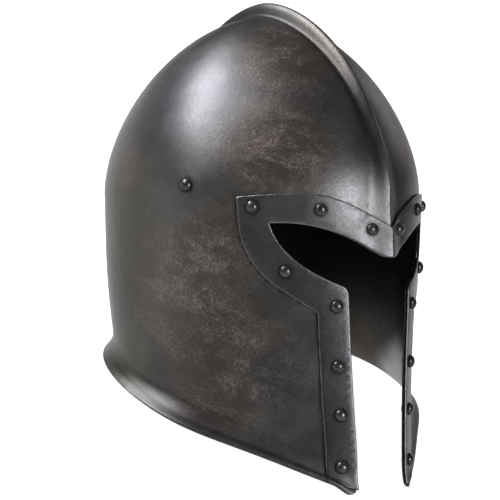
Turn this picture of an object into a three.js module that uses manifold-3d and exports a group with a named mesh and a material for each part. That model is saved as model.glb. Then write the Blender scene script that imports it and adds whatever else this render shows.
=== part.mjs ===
// Barbute: a one-piece steel skull with a raised comb and a flared rim, and one
// plate riveted round its face opening. Millimetres. The helmet is drawn upright,
// X to the wearer's left, Y to the back, Z up, Z = 0 at its widest level, and is
// then laid back to stand on the cheek tips and the nape of its rim.
import * as THREE from "three";
import { mergeVertices } from "three/addons/utils/BufferGeometryUtils.js";
import Module from "manifold-3d";

const wasm = await Module();
wasm.setup();

// Skull
const halfWidth = 104;
const frontDepth = 119;
const backDepth = 129;
const domeHeight = 122;
const apexShift = 5.5;
const faceDrop = 192.5;
const skullWall = 1.6;
const domeForm = 1.74;
const backForm = 2;

// Rim: it stands on its two toes and the nape and arches up between them. Its flare is widest at
// the sides and the nape, and ends in a small turned lip
const restTilt = THREE.MathUtils.degToRad(22.3);
const rimArch = 10.7;
const archFront = 116;
const archBack = 94;
const toeHang = 2.5;
const toeStep = 6;
const flareSide = 9.5;
const flareBack = 9;
const flareFront = 2;
const flareReach = 18.5;
const lipOut = 1.3;
const lipReach = 4.5;

// Comb along the middle line
const combHeight = 9.2;
const combHalfWidth = 11;

// Face opening, seen from the front
const eyeReach = 66;
const eyeDrop = 20;
const browArch = 40.5;
const nasalHalfWidth = 7.7;
const nasalDrop = 41.5;
const cheekTop = 59.5;
const slotHalfTop = 26.8;
const slotHalfFoot = 21.8;
const cornerRound = 6.5;
const toeRound = 5.5;

// Plate round the face opening
const plateWidth = 21;
const plateWall = 1.5;
const plateGap = 0.4;

// Rivets
const headRadius = 4.2;
const headHeight = 3;
const shankRadius = 1.7;
const peenRadius = 3.1;
const peenHeight = 1.2;
const peenGap = 0.7;
const rivetGap = 0.35;
const rivetSides = 8;

const steel = new THREE.MeshStandardMaterial({ color: 0x35322e, roughness: 0.42, metalness: 0.9 });
const plateSteel = new THREE.MeshStandardMaterial({ color: 0x3a3a3c, roughness: 0.36, metalness: 0.9 });
const rivetSteel = new THREE.MeshStandardMaterial({ color: 0x2c2b29, roughness: 0.3, metalness: 0.9 });

// Level sections from the widest level (drop 0) to the cheek tips (drop 1), as shares of the sizes
const sections = [
  { drop: 0, side: 1, front: 1, back: 1, form: 1.68 },
  { drop: 0.32, side: 1.004, front: 1.028, back: 0.94, form: 1.53 },
  { drop: 0.63, side: 1.006, front: 1.046, back: 0.78, form: 1.42 },
  { drop: 1, side: 0.97, front: 1.072, back: 0.7, form: 1.4 },
];

// Comb sections by the angle in degrees round the middle line, 0 at the brow and 90 at the apex
const combSections = [
  { angle: -25, rise: 0.48, spread: 0.72, crown: 1.05 },
  { angle: 0, rise: 0.52, spread: 0.74, crown: 1.05 },
  { angle: 20, rise: 0.5, spread: 0.78, crown: 1.15 },
  { angle: 48, rise: 0.97, spread: 1, crown: 1.7 },
  { angle: 90, rise: 1, spread: 1, crown: 2 },
  { angle: 115, rise: 0.95, spread: 1, crown: 1.9 },
  { angle: 160, rise: 0.42, spread: 0.85, crown: 1.6 },
  { angle: 200, rise: 0, spread: 0.7, crown: 1.6 },
];

// Shares of the half width where the lines of the skin run front to back, close together across the comb
const combLines = [0, 0.018, 0.042, 0.07, 0.105];
const sideLines = 12;
const sideCrowding = 1.3;
const domeSteps = 20;
const wallSteps = 5;
const flareSteps = [0, 0.5 * lipReach, lipReach, 0.42 * flareReach, 0.7 * flareReach, flareReach];

// A smooth curve through one column of a table
function column(table, key, name) {
  const keys = table.map((row) => row[key]);
  const values = table.map((row) => row[name]);
  const curve = new THREE.CubicInterpolant(keys, values, 1, [0]);
  return (at) => curve.evaluate(at)[0];
}

const sideShare = column(sections, "drop", "side");
const frontShare = column(sections, "drop", "front");
const backShare = column(sections, "drop", "back");
const frontForm = column(sections, "drop", "form");
const combRise = column(combSections, "angle", "rise");
const combSpread = column(combSections, "angle", "spread");
const combCrown = column(combSections, "angle", "crown");

const restSlope = Math.tan(restTilt);
const fade = (share) => 1 - THREE.MathUtils.smoothstep(share, 0, 1);
const axisY = (z) => apexShift * THREE.MathUtils.clamp(z / domeHeight, 0, 1) ** 2;

// Level of the rim: the plane that it stands on, the arch, and the step up behind the toes
function rimLevel(y) {
  const along = THREE.MathUtils.clamp((y + archFront) / (archFront + archBack), 0, 1);
  const arch = 4 * rimArch * along * (1 - along);
  const step = toeHang * (1 - along) * THREE.MathUtils.smoothstep(y, -archFront, toeStep - archFront);
  return restSlope * (y + frontDepth) - faceDrop + arch + step;
}

// How far the rim stands out from the wall, at an angle from the front and a height above the rim
function flareAt(angle, above) {
  const end = Math.cos(angle) > 0 ? flareFront : flareBack;
  const amount = THREE.MathUtils.lerp(flareSide, end, Math.cos(angle) ** 2);
  return amount * fade(above / flareReach) + lipOut * fade(above / lipReach);
}

// Distance of the wall from the upright axis
function wallRadius(angle, z) {
  const front = Math.cos(angle) > 0;
  const drop = THREE.MathUtils.clamp(-z / faceDrop, 0, 1);
  const side = halfWidth * sideShare(drop);
  const depth = front ? frontDepth * frontShare(drop) : backDepth * backShare(drop);
  const sine = Math.abs(Math.sin(angle));
  const form = front ? THREE.MathUtils.lerp(frontForm(drop), backForm, sine ** 8) : backForm;
  const sum = (sine / side) ** form + Math.abs(Math.cos(angle) / depth) ** form;
  const radius = sum ** (-1 / form);
  return z > 0 ? radius : radius + flareAt(angle, z - rimLevel(-radius * Math.cos(angle)));
}

// Zero on the skin, negative inside and positive outside
function skinValue(x, y, z) {
  const across = y - axisY(z);
  const gauge = Math.hypot(x, across) / wallRadius(Math.atan2(x, -across), z);
  return z > 0 ? (gauge ** domeForm + (z / domeHeight) ** domeForm) ** (1 / domeForm) - 1 : gauge - 1;
}

function skinNormal(p) {
  const d = 0.05;
  return new THREE.Vector3(
    skinValue(p.x + d, p.y, p.z) - skinValue(p.x - d, p.y, p.z),
    skinValue(p.x, p.y + d, p.z) - skinValue(p.x, p.y - d, p.z),
    skinValue(p.x, p.y, p.z + d) - skinValue(p.x, p.y, p.z - d),
  ).normalize();
}

// Height of the comb over a point of the skin
function combAt(p) {
  const depth = p.y < 0 ? frontDepth : backDepth;
  const turn = THREE.MathUtils.radToDeg(Math.atan2(p.z / domeHeight, -p.y / depth));
  const angle = turn < -90 ? turn + 360 : turn;
  const share = Math.abs(p.x) / (combHalfWidth * combSpread(angle));
  return share < 1 ? combHeight * combRise(angle) * (1 - share ** combCrown(angle)) ** 2 : 0;
}

// The point that lies over a point of the skin by a distance along its normal
function lifted(p, distance) {
  return p.clone().addScaledVector(skinNormal(p), distance + combAt(p));
}

function wallPoint(angle, z) {
  const share = z > 0 ? (1 - (z / domeHeight) ** domeForm) ** (1 / domeForm) : 1;
  const radius = share * wallRadius(angle, z);
  return new THREE.Vector3(radius * Math.sin(angle), axisY(z) - radius * Math.cos(angle), z);
}

// Root of a rising function between two values
function root(rising, low, high) {
  for (let i = 0; i < 40; i++) {
    const middle = (low + high) / 2;
    if (rising(middle) < 0) low = middle;
    else high = middle;
  }
  return (low + high) / 2;
}

function domePoint(share, turn) {
  const depth = turn < Math.PI / 2 ? frontDepth : backDepth;
  const at = (scale) => {
    const z = scale * domeHeight * Math.sin(turn);
    return new THREE.Vector3(halfWidth * share, axisY(z) - scale * depth * Math.cos(turn), z);
  };
  const scale = root((value) => {
    const p = at(value);
    return skinValue(p.x, p.y, p.z);
  }, 0, 1);
  return at(scale);
}

// Lines of the skin, as shares of the half width from the wearer's right to left, one of them at the toes
const halfLines = [...combLines];
for (let i = 1; i <= sideLines; i++) {
  const start = Math.asin(combLines.at(-1));
  halfLines.push(Math.sin(THREE.MathUtils.lerp(start, Math.PI / 2, (i / sideLines) ** sideCrowding)));
}
halfLines.push((slotHalfFoot + 1.5 * toeRound) / halfWidth);
halfLines.sort((a, b) => a - b);
const lines = [...halfLines.slice(1).reverse().map((share) => -share), ...halfLines];

// Angle from the front at which a line meets the widest level, before or behind the ears
function lineAngle(share, front) {
  const turned = (angle) => (front ? angle : Math.PI - angle);
  const ahead = root((angle) => wallPoint(turned(angle), 0).x - halfWidth * Math.abs(share), 0, Math.PI / 2);
  return turned(Math.sign(share) * ahead);
}

const frontAngles = lines.map((share) => lineAngle(share, true));
const backAngles = lines.slice(1, -1).reverse().map((share) => lineAngle(share, false));
const ringAngles = [...frontAngles, ...backAngles, frontAngles[0]];

// One upright row of the wall's points from the rim to the widest level
function wallColumn(angle, distance) {
  const foot = root((z) => z - rimLevel(wallPoint(angle, z).y), -faceDrop - flareReach, 0);
  const start = foot + flareReach;
  const levels = flareSteps.map((above) => foot + above);
  for (let i = 1; i <= wallSteps; i++) levels.push(start * (1 - i / wallSteps));
  return levels.map((z, i) => {
    const p = lifted(wallPoint(angle, z), distance);
    if (i === 0) p.z = rimLevel(p.y);
    return p;
  });
}

const transpose = (grid) => grid[0].map((_, i) => grid.map((row) => row[i]));

function wallGrid(angles, distance) {
  return transpose(angles.map((angle) => wallColumn(angle, distance)));
}

// Rows over the top, from the front of the widest level to its back
function domeGrid(level, distance) {
  const count = lines.length;
  const rows = [level.slice(0, count)];
  for (let i = 1; i < domeSteps; i++) {
    const turn = (Math.PI * i) / domeSteps;
    const row = lines.slice(1, -1).map((share) => lifted(domePoint(share, turn), distance));
    rows.push([level[0], ...row, level[count - 1]]);
  }
  rows.push([level[0], ...level.slice(count, -1).reverse(), level[count - 1]]);
  return rows;
}

// Two triangles for each cell of a grid, which face along (next in row) x (next row)
function addGrid(corners, grid, inward = false) {
  for (let i = 0; i + 1 < grid.length; i++) {
    for (let j = 0; j + 1 < grid[i].length; j++) {
      const cell = [grid[i][j], grid[i][j + 1], grid[i + 1][j + 1], grid[i + 1][j]];
      if (inward) cell.reverse();
      corners.push(cell[0], cell[1], cell[2], cell[0], cell[2], cell[3]);
    }
  }
}

function solidFrom(geometry) {
  const bare = new THREE.BufferGeometry();
  bare.setAttribute("position", geometry.getAttribute("position"));
  bare.setIndex(geometry.index);
  const merged = mergeVertices(bare, 1e-4);
  const index = merged.index.array;
  const kept = [];
  for (let i = 0; i < index.length; i += 3) {
    const [a, b, c] = index.slice(i, i + 3);
    if (a !== b && b !== c && c !== a) kept.push(a, b, c);
  }
  const vertProperties = new Float32Array(merged.getAttribute("position").array);
  return new wasm.Manifold(new wasm.Mesh({ numProp: 3, vertProperties, triVerts: new Uint32Array(kept) }));
}

const solidOfCorners = (corners) => solidFrom(new THREE.BufferGeometry().setFromPoints(corners));

function geometryFrom(solid) {
  const { vertProperties, triVerts } = solid.getMesh();
  const indexed = new THREE.BufferGeometry();
  indexed.setAttribute("position", new THREE.BufferAttribute(vertProperties, 3));
  indexed.setIndex(new THREE.BufferAttribute(triVerts, 1));
  const geometry = indexed.toNonIndexed();
  geometry.computeVertexNormals();
  return geometry;
}

// Skull: an outer and an inner skin that meet on the flat edge of the rim
function bareSkull() {
  const outer = wallGrid(ringAngles, 0);
  const inner = wallGrid(ringAngles, -skullWall);
  const corners = [];
  addGrid(corners, outer);
  addGrid(corners, domeGrid(outer.at(-1), 0));
  addGrid(corners, inner, true);
  addGrid(corners, domeGrid(inner.at(-1), -skullWall), true);
  addGrid(corners, [inner[0], outer[0]]);
  return solidOfCorners(corners);
}

// Plate before its outline is cut: a strip of wall over the front of the skull, down to the lip
function barePlate() {
  const reach = Math.min(0.97, (eyeReach + plateWidth) / halfWidth);
  const angles = frontAngles.filter((_, i) => Math.abs(lines[i]) < reach);
  const firstRow = flareSteps.indexOf(lipReach);
  const outer = wallGrid(angles, plateGap + plateWall).slice(firstRow);
  const inner = wallGrid(angles, plateGap).slice(firstRow);
  const corners = [];
  addGrid(corners, outer);
  addGrid(corners, inner, true);
  addGrid(corners, [inner[0], outer[0]]);
  addGrid(corners, [outer.at(-1), inner.at(-1)]);
  addGrid(corners, inner.map((row, i) => [row[0], outer[i][0]]));
  addGrid(corners, inner.map((row, i) => [row.at(-1), outer[i].at(-1)]), true);
  return solidOfCorners(corners);
}

// The wearer's left half of an outline, mirrored and carried forward through the face
function throughFace(half) {
  const points = half.getPoints(5);
  const other = points.filter((p) => p.x > 0).reverse().map((p) => new THREE.Vector2(-p.x, p.y));
  const outline = new THREE.Shape([...points, ...other]);
  const prism = new THREE.ExtrudeGeometry(outline, { depth: 2 * frontDepth, bevelEnabled: false });
  return solidFrom(prism.rotateX(Math.PI / 2));
}

const below = -faceDrop - 2 * flareReach;
const toeEnd = slotHalfFoot + toeRound;
const toeAngle = root((angle) => wallPoint(angle, -faceDrop).x - toeEnd, 0, Math.PI / 2);
const toeLevel = rimLevel(wallPoint(toeAngle, -faceDrop).y);

// Face opening: the brow with its short nasal, the eyes, and the slot between the cheeks
const opening = new THREE.Path();
opening.moveTo(0, -nasalDrop);
opening.quadraticCurveTo(0.62 * nasalHalfWidth, -nasalDrop, nasalHalfWidth, -browArch);
opening.quadraticCurveTo(0.61 * eyeReach, -0.85 * eyeDrop, eyeReach, -eyeDrop);
opening.quadraticCurveTo(0.91 * eyeReach, -0.77 * cheekTop, slotHalfTop + 0.5 * cornerRound, -cheekTop);
opening.quadraticCurveTo(slotHalfTop, -cheekTop - 0.3 * cornerRound, slotHalfTop, -cheekTop - cornerRound);
opening.lineTo(slotHalfFoot, -faceDrop + 5 * toeRound);
opening.lineTo(slotHalfFoot, toeLevel + toeRound);
opening.quadraticCurveTo(slotHalfFoot, toeLevel, toeEnd, toeLevel);
opening.lineTo(toeEnd, below);
opening.lineTo(0, below);

// Outer edge of the plate, which follows the opening at the plate's width
const aboveEyes = (widths) => widths * plateWidth - eyeDrop;
const edge = new THREE.Path();
edge.moveTo(0, -nasalDrop + 0.98 * plateWidth);
edge.quadraticCurveTo(0.43 * eyeReach, aboveEyes(0.85), 0.72 * eyeReach, aboveEyes(0.9));
edge.quadraticCurveTo(0.96 * eyeReach, aboveEyes(0.94), eyeReach + 0.7 * plateWidth, aboveEyes(0.8));
edge.lineTo(eyeReach + 0.6 * plateWidth, aboveEyes(-0.34));
edge.quadraticCurveTo(
  eyeReach + 0.38 * plateWidth, 0.16 * plateWidth - 0.9 * cheekTop,
  0.9 * eyeReach, -cheekTop - 0.15 * plateWidth,
);
edge.lineTo(slotHalfTop + 0.77 * plateWidth, -cheekTop - 0.84 * plateWidth);
edge.lineTo(slotHalfFoot + 0.77 * plateWidth, -faceDrop + 5 * toeRound);
edge.lineTo(slotHalfFoot + 0.8 * plateWidth, below);
edge.lineTo(0, below);

const openingPrism = throughFace(opening);
const edgePrism = throughFace(edge);

// Where a path crosses a level, or an upright line
function crossing(path, key, value, pick) {
  const other = key === "x" ? "y" : "x";
  const points = path.getPoints(12);
  const found = [];
  for (let i = 0; i + 1 < points.length; i++) {
    const [a, b] = [points[i], points[i + 1]];
    if ((a[key] - value) * (b[key] - value) > 0 || a[key] === b[key]) continue;
    found.push(THREE.MathUtils.mapLinear(value, a[key], b[key], a[other], b[other]));
  }
  return pick(...found);
}

// Rivets of one half, by their share of the way from the opening to the plate's edge
const browRivets = [
  { name: "brow_inner", across: 0.17, share: 0.6 },
  { name: "brow_middle", across: 0.62, share: 0.56 },
];
const cheekRivets = [
  { name: "cheek_upper", drop: 0.369, share: 0.28 },
  { name: "cheek_middle", drop: 0.568, share: 0.4 },
  { name: "cheek_lower", drop: 0.73, share: 0.4 },
  { name: "cheek_foot", drop: 0.903, share: 0.45 },
];
const between = (key, value, pick, share) =>
  THREE.MathUtils.lerp(crossing(opening, key, value, pick), crossing(edge, key, value, pick), share);
const plateRivets = [
  ...browRivets.map(({ name, across, share }) => {
    const x = across * eyeReach;
    return { name, x, z: between("x", x, Math.max, share) };
  }),
  { name: "brow_outer", x: eyeReach + 0.33 * plateWidth, z: aboveEyes(0.5) },
  { name: "eye", x: 0.865 * eyeReach, z: aboveEyes(-1.45) },
  ...cheekRivets.map(({ name, drop, share }) => {
    const z = -drop * faceDrop;
    return { name, x: between("y", z, Math.min, share), z };
  }),
];
const plateStack = plateGap + plateWall;
const drillLength = 8 * (plateStack + skullWall);
const sideRivet = { name: "side", turn: THREE.MathUtils.degToRad(69.5), z: 5.5 };

// The place of a rivet on the skin, on the wearer's left (1) or right (-1)
function seat({ x, z, turn }, hand) {
  const angle = turn ?? root((value) => wallPoint(value, z).x - x, 0, Math.PI / 2);
  const point = wallPoint(hand * angle, z);
  const turned = new THREE.Quaternion().setFromUnitVectors(new THREE.Vector3(0, 1, 0), skinNormal(point));
  return { point, turned };
}

// A domed head outside, a shank through the holes, and a flattened end inside
function rivetGeometry(stack) {
  const under = stack + rivetGap;
  const inside = -skullWall - peenGap;
  const profile = [
    [0, inside - peenHeight],
    [0.7 * peenRadius, inside - peenHeight],
    [peenRadius, inside],
    [shankRadius, inside],
    [shankRadius, under],
    [headRadius, under],
    [0.9 * headRadius, under + 0.42 * headHeight],
    [0.56 * headRadius, under + 0.83 * headHeight],
    [0, under + headHeight],
  ];
  return new THREE.LatheGeometry(profile.map(([x, y]) => new THREE.Vector2(x, y)), rivetSides);
}

const rivets = [];
let holes = null;
for (const place of [...plateRivets, sideRivet]) {
  const stack = place === sideRivet ? 0 : plateStack;
  for (const [hand, side] of [[1, "left"], [-1, "right"]]) {
    const { point, turned } = seat(place, hand);
    const rivet = new THREE.Mesh(rivetGeometry(stack), rivetSteel);
    rivet.name = `rivet_${place.name}_${side}`;
    rivet.position.copy(point);
    rivet.quaternion.copy(turned);
    rivets.push(rivet);
    const holeRadius = (shankRadius + rivetGap) / Math.cos(Math.PI / rivetSides);
    const drill = new THREE.CylinderGeometry(holeRadius, holeRadius, drillLength, rivetSides);
    const hole = solidFrom(drill.applyQuaternion(turned).translate(...point));
    holes = holes ? holes.add(hole) : hole;
  }
}

function namedMesh(name, solid, material) {
  const mesh = new THREE.Mesh(geometryFrom(solid), material);
  mesh.name = name;
  return mesh;
}

const skull = namedMesh("skull", bareSkull().subtract(openingPrism).subtract(holes), steel);
const plateCut = edgePrism.subtract(openingPrism);
const facePlate = namedMesh("face_band", barePlate().intersect(plateCut).subtract(holes), plateSteel);

// Lay the helmet back on its toes and nape, with its box centred over the origin
const helmet = new THREE.Group();
helmet.add(skull, facePlate, ...rivets);
helmet.rotation.x = -restTilt;
const barbute = new THREE.Group();
barbute.add(helmet);
barbute.updateMatrixWorld(true);
const box = new THREE.Box3().setFromObject(barbute, true);
helmet.position.y = -(box.min.y + box.max.y) / 2;
helmet.position.z = -box.min.z;

export default barbute;
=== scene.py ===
"""Barbute: an open-faced steel helmet with a raised comb, a flared rim and a riveted face band.

Lengths are metres. The helmet is drawn upright, X to the wearer's left, Y to the back and Z up
from its widest level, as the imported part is, and is then laid back on its toes and its nape.
"""

from __future__ import annotations

import logging
import math
from dataclasses import dataclass, field
from enum import Enum
from typing import Callable, NamedTuple, Sequence

import bpy
import numpy as np
from mathutils import Matrix, Vector
from mathutils.geometry import delaunay_2d_cdt

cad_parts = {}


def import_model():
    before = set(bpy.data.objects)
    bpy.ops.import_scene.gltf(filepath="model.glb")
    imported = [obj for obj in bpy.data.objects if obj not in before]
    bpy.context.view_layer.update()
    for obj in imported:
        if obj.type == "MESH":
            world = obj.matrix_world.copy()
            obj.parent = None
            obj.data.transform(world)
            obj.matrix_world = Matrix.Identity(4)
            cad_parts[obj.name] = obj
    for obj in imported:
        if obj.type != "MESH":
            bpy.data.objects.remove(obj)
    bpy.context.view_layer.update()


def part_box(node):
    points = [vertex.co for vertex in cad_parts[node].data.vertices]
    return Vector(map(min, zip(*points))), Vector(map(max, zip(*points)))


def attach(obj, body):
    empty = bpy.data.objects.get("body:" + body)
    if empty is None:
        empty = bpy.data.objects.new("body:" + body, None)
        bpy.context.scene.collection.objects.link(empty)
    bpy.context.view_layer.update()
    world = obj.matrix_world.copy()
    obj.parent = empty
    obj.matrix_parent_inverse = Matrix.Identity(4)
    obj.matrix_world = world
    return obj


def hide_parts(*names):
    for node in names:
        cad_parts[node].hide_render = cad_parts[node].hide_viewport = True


LOG = logging.getLogger("barbute")
MM = 0.001
HALVINGS = 40
TINY = 1e-18
WELD_DISTANCE = 0.5 * MM * MM
PATH_BATCH = 2000
OUTLINE_STEP = 1.2 * MM
IN_MM = 1 / MM

Array = np.ndarray
Colour = tuple[float, float, float]
Triple = tuple[float, float, float]
# Points, triangles, and values of each point by name
Built = tuple[Array, Array, dict[str, Array]]


class Side(Enum):
    """The wearer's side that a mirrored piece is on."""

    LEFT = 1
    RIGHT = -1


class Section(NamedTuple):
    """One level of the wall: its sizes as shares of the skull's, and how square its plan is."""

    drop: float
    side: float
    front: float
    back: float
    form: float


class CombSection(NamedTuple):
    """One section of the comb, by its angle round the middle line in degrees.

    The rise and the spread are shares of the comb's height and half width. The crown and the fall
    are the powers that round its crest and hollow its flanks.
    """

    angle: float
    rise: float
    spread: float
    crown: float
    fall: float


WALL_SECTIONS = (
    Section(drop=0.0, side=1.0, front=1.0, back=1.0, form=1.68),
    Section(drop=0.32, side=1.004, front=1.028, back=0.94, form=1.53),
    Section(drop=0.63, side=1.006, front=1.046, back=0.78, form=1.42),
    Section(drop=1.0, side=0.97, front=1.072, back=0.7, form=1.4),
)

COMB_SECTIONS = (
    CombSection(angle=-25, rise=0.48, spread=1.2, crown=1.0, fall=1.5),
    CombSection(angle=0, rise=0.52, spread=1.1, crown=1.0, fall=1.5),
    CombSection(angle=20, rise=0.46, spread=0.6, crown=1.15, fall=1.6),
    CombSection(angle=45, rise=0.74, spread=0.5, crown=1.6, fall=1.3),
    CombSection(angle=90, rise=1.0, spread=0.52, crown=1.9, fall=1.3),
    CombSection(angle=115, rise=0.95, spread=0.58, crown=1.9, fall=1.3),
    CombSection(angle=160, rise=0.42, spread=0.75, crown=1.8, fall=1.4),
    CombSection(angle=200, rise=0.0, spread=0.7, crown=1.6, fall=2.0),
)


def smooth(share: Array | float) -> Array:
    """Smooth step from 0 to 1 while share goes from 0 to 1."""
    t = np.clip(share, 0.0, 1.0)
    return t * t * (3.0 - 2.0 * t)


def root(rising: Callable[[Array], Array], low: Array, high: Array) -> Array:
    """Roots of rising functions, found by halving.

    Args:
        rising: Function of an array that rises through zero in each place.
        low: Values below the roots.
        high: Values above the roots.

    Returns:
        The root in each place.
    """
    low, high = np.array(low, float), np.array(high, float)
    for _ in range(HALVINGS):
        middle = (low + high) / 2
        below = rising(middle) < 0
        low = np.where(below, middle, low)
        high = np.where(below, high, middle)
    return (low + high) / 2


@dataclass(frozen=True)
class Column:
    """A smooth curve through one column of a table of sections."""

    keys: tuple[float, ...]
    values: tuple[float, ...]

    @classmethod
    def of(cls, table: Sequence[NamedTuple], key: str, name: str) -> "Column":
        """The curve of the column called name over the column called key."""
        return cls(tuple(getattr(r, key) for r in table), tuple(getattr(r, name) for r in table))

    def __call__(self, at: Array) -> Array:
        """Values of the curve, held at its ends.

        Args:
            at: Places along the key column.

        Returns:
            The curve's value at each place.
        """
        keys, values = np.array(self.keys, float), np.array(self.values, float)
        at = np.clip(at, keys[0], keys[-1])
        i = np.clip(np.searchsorted(keys, at, side="right"), 1, len(keys) - 1)
        before = np.where(i >= 2, i - 2, i)
        after = np.where(i + 1 < len(keys), np.minimum(i + 1, len(keys) - 1), i - 1)
        start, end = keys[i - 1], keys[i]
        half = (end - start) / 2
        w_before = half / (start - keys[before])
        w_after = half / (keys[after] - end)
        p = (at - start) / (end - start)
        p2, p3 = p * p, p * p * p
        from_start = (1 + w_before) * p3 - (1.5 + 2 * w_before) * p2 + (w_before - 0.5) * p + 1
        return (
            (-w_before * p3 + 2 * w_before * p2 - w_before * p) * values[before]
            + from_start * values[i - 1]
            + ((-1 - w_after) * p3 + (1.5 + w_after) * p2 + 0.5 * p) * values[i]
            + (w_after * p3 - w_after * p2) * values[after]
        )


@dataclass(frozen=True)
class Skin:
    """The outer skin of the skull: its wall, its dome, the comb over them and the flare of the rim."""

    half_width: float = 104 * MM
    front_depth: float = 119 * MM
    back_depth: float = 129 * MM
    dome_height: float = 122 * MM
    apex_shift: float = 5.5 * MM
    face_drop: float = 192.5 * MM
    dome_form: float = 1.74
    back_form: float = 2.0
    rest_tilt: float = math.radians(22.3)
    rim_arch: float = 10.7 * MM
    arch_front: float = 116 * MM
    arch_back: float = 94 * MM
    toe_hang: float = 2.5 * MM
    toe_step: float = 6 * MM
    flare_side: float = 10 * MM
    flare_back: float = 10.5 * MM
    flare_front: float = 2 * MM
    flare_reach: float = 14.5 * MM
    flare_form: float = 1.8
    lip_out: float = 0.6 * MM
    lip_reach: float = 4.5 * MM
    comb_height: float = 9.2 * MM
    comb_half_width: float = 11 * MM
    probe: float = 0.05 * MM
    side: Column = Column.of(WALL_SECTIONS, "drop", "side")
    front: Column = Column.of(WALL_SECTIONS, "drop", "front")
    back: Column = Column.of(WALL_SECTIONS, "drop", "back")
    form: Column = Column.of(WALL_SECTIONS, "drop", "form")
    rise: Column = Column.of(COMB_SECTIONS, "angle", "rise")
    spread: Column = Column.of(COMB_SECTIONS, "angle", "spread")
    crown: Column = Column.of(COMB_SECTIONS, "angle", "crown")
    fall: Column = Column.of(COMB_SECTIONS, "angle", "fall")

    def rim_level(self, y: Array) -> Array:
        """Level of the rim's edge: the plane that it stands on, its arch and the toes.

        Args:
            y: Distances back from the upright axis.

        Returns:
            The level at each of them.
        """
        along = np.clip((y + self.arch_front) / (self.arch_front + self.arch_back), 0, 1)
        arch = 4 * self.rim_arch * along * (1 - along)
        step = self.toe_hang * (1 - along) * smooth((y + self.arch_front) / self.toe_step)
        return math.tan(self.rest_tilt) * (y + self.front_depth) - self.face_drop + arch + step

    def axis_y(self, z: Array) -> Array:
        """How far back the dome's axis is at a level."""
        return self.apex_shift * np.clip(z / self.dome_height, 0, 1) ** 2

    def flare(self, angle: Array, above: Array) -> Array:
        """How far the rim stands out from the wall.

        Args:
            angle: Angle from the front.
            above: Height over the rim's edge.

        Returns:
            The distance that the flare and the turned lip add.
        """
        end = np.where(np.cos(angle) > 0, self.flare_front, self.flare_back)
        amount = self.flare_side + (end - self.flare_side) * np.cos(angle) ** 2
        turned = (1 - np.clip(above / self.flare_reach, 0, 1)) ** self.flare_form
        return amount * turned + self.lip_out * (1 - smooth(above / self.lip_reach))

    def wall_radius(self, angle: Array, z: Array) -> Array:
        """Distance of the skin from the upright axis, at the widest level and below it.

        Args:
            angle: Angles from the front.
            z: Levels.

        Returns:
            The distance in each place.
        """
        sine, cosine = np.abs(np.sin(angle)), np.cos(angle)
        ahead = cosine > 0
        drop = np.clip(-z / self.face_drop, 0, 1)
        width = self.half_width * self.side(drop)
        depth = np.where(ahead, self.front_depth * self.front(drop), self.back_depth * self.back(drop))
        front_form = self.form(drop)
        form = np.where(ahead, front_form + (self.back_form - front_form) * sine**8, self.back_form)
        radius = ((sine / width) ** form + (np.abs(cosine) / depth) ** form) ** (-1 / form)
        flare = self.flare(angle, z - self.rim_level(-radius * cosine))
        return np.where(z > 0, radius, radius + flare)

    def value(self, p: Array) -> Array:
        """How far points are from the skin, as a share of its size.

        Args:
            p: Points with a last axis of x, y and z.

        Returns:
            Zero on the skin, negative inside it and positive outside.
        """
        across = p[..., 1] - self.axis_y(p[..., 2])
        gauge = np.hypot(p[..., 0], across) / self.wall_radius(np.arctan2(p[..., 0], -across), p[..., 2])
        height = np.clip(p[..., 2] / self.dome_height, 0, None)
        domed = (gauge**self.dome_form + height**self.dome_form) ** (1 / self.dome_form)
        return np.where(p[..., 2] > 0, domed, gauge) - 1

    def normal(self, p: Array) -> Array:
        """Unit normals of the skin.

        Args:
            p: Points on the skin or near it.

        Returns:
            The outward normal at each point.
        """
        steps = self.probe * np.eye(3)
        n = np.stack([self.value(p + step) - self.value(p - step) for step in steps], -1)
        return n / np.linalg.norm(n, axis=-1, keepdims=True)

    def comb(self, p: Array) -> Array:
        """Height of the comb over the skin.

        Args:
            p: Points of the skin.

        Returns:
            The height over each of them.
        """
        depth = np.where(p[..., 1] < 0, self.front_depth, self.back_depth)
        turn = np.degrees(np.arctan2(p[..., 2] / self.dome_height, -p[..., 1] / depth))
        angle = np.where(turn < -90, turn + 360, turn)
        share = np.clip(np.abs(p[..., 0]) / (self.comb_half_width * self.spread(angle)), 0, 1)
        return self.comb_height * self.rise(angle) * (1 - share ** self.crown(angle)) ** self.fall(angle)

    def lifted(self, p: Array, distance: Array | float) -> Array:
        """Points over points of the skin, by the comb and a distance along the normal."""
        away = np.broadcast_to(distance, p.shape[:-1]) + self.comb(p)
        return p + self.normal(p) * away[..., None]

    def wall_points(self, angle: Array, z: Array) -> Array:
        """Points of the skin at angles from the front and at levels up to the widest one."""
        radius = self.wall_radius(angle, z)
        return np.stack([radius * np.sin(angle), -radius * np.cos(angle), z + 0 * radius], -1)

    def dome_points(self, share: Array, turn: Array) -> Array:
        """Points of the skin over the widest level.

        Args:
            share: Place across, as a share of the half width.
            turn: Angle over the top, 0 at the front and pi at the back.

        Returns:
            Points with a last axis of x, y and z.
        """
        depth = np.where(turn < math.pi / 2, self.front_depth, self.back_depth)

        def at(scale: Array) -> Array:
            """Points on the way out from the middle.

            Args:
                scale: Share of the way.

            Returns:
                The points.
            """
            z = scale * self.dome_height * np.sin(turn)
            y = self.axis_y(z) - scale * depth * np.cos(turn)
            return np.stack([self.half_width * share + 0 * z, y, z], -1)

        return at(root(lambda scale: self.value(at(scale)), 0 * turn, 0 * turn + 1))

    def angle_at(self, x: Array, z: Array) -> Array:
        """Angle from the front at which the front wall is x to the side, at a level."""
        low, high = 0 * x, 0 * x + math.pi / 2
        return np.sign(x) * root(lambda a: self.wall_points(a, z)[..., 0] - np.abs(x), low, high)

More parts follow.
